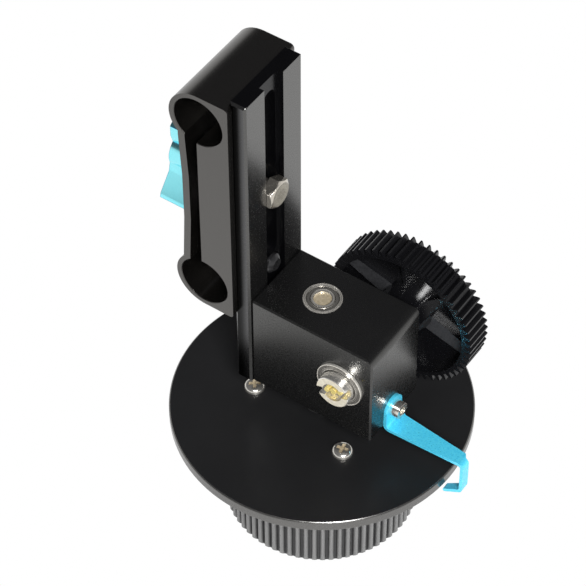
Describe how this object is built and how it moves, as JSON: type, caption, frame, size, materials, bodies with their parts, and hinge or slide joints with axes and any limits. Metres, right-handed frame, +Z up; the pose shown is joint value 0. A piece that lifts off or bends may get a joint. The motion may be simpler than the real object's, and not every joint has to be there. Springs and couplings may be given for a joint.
{
  "type": "follow focus unit",
  "caption": "Follow focus: ribbed handwheel with focus disc, right-angle gearbox, lens gear, blue pointer and slotted slide bar in a double rod clamp.",
  "frame": {"origin": "centre of the handwheel's resting face", "axes": "+Z up along the handwheel axis, +Y along the rod bores and the lens gear shaft, +X along the gearbox away from the slide bar"},
  "size_m": [0.0952, 0.0864, 0.1549],
  "materials": {
    "black_anodised": "satin black anodised",
    "black_anodised_bar": "satin black anodised",
    "black_anodised_clamp": "satin black anodised",
    "disc_black": "glossy black anodised",
    "knob_grip": "dark grey ribbed grip",
    "ring_white": "white write-on face",
    "blue_anodised": "bright blue anodised",
    "blue_strip": "satin blue anodised",
    "steel": "plain",
    "bearing_steel": "ground",
    "black_steel": "black oxide",
    "zinc": "bright zinc",
    "brass": "turned",
    "spacer_metal": "turned",
    "gear_plastic": "moulded black",
    "cap_plastic": "moulded black"
  },
  "bodies": {
    "gearbox": {"gearbox_body": "black_anodised", "slide_bar": "black_anodised_bar", "slide_bar_screws": "black_steel", "slot_stop_screw": "black_steel", "pointer": "blue_strip", "pointer_screw": "zinc", "bearing_outer_rings": "bearing_steel", "bearing_balls": "bearing_steel", "bearing_shields": "bearing_steel", "retaining_rings": "black_steel"},
    "rod_clamp": {"rod_clamp": "black_anodised_clamp", "clamp_bolt": "steel", "lever_washer": "steel"},
    "clamp_lever": {"clamp_lever": "blue_anodised", "lever_bush": "steel"},
    "handwheel": {"handwheel_knob": "knob_grip", "knob_cap": "cap_plastic", "knob_screw": "black_steel", "focus_disc": "disc_black", "disc_screws": "zinc", "marking_ring": "ring_white", "input_shaft": "steel", "input_collar": "spacer_metal", "input_spacer": "spacer_metal", "input_gear": "brass", "input_gear_pin": "steel", "input_inner_rings": "bearing_steel"},
    "drive": {"drive_shaft": "steel", "drive_socket_insert": "brass", "drive_spacer": "spacer_metal", "drive_gear": "brass", "drive_gear_pin": "steel", "drive_inner_rings": "bearing_steel", "lens_gear_spacer": "spacer_metal", "lens_gear": "gear_plastic", "lens_gear_washer": "steel", "lens_gear_screw": "black_steel"}
  },
  "joints": [
    {"name": "handwheel_spin", "type": "hinge", "parent": "gearbox", "child": "handwheel", "pos_m": [0, 0, 0.0675], "axis": [0, 0, 1], "continuous": true},
    {"name": "drive_spin", "type": "hinge", "parent": "gearbox", "child": "drive", "pos_m": [0.01375, 0, 0.0675], "axis": [0, 1, 0], "continuous": true},
    {"name": "clamp_slide", "type": "slide", "parent": "gearbox", "child": "rod_clamp", "axis": [0, 0, 1], "range_m": [-0.02, 0.0325]},
    {"name": "lever_turn", "type": "hinge", "parent": "rod_clamp", "child": "clamp_lever", "pos_m": [-0.0405, 0, 0.1148], "axis": [-1, 0, 0], "range_deg": [0, 180]}
  ],
  "couplings": [
    {"joint": "drive_spin", "follows": "handwheel_spin", "ratio": -1}
  ]
}
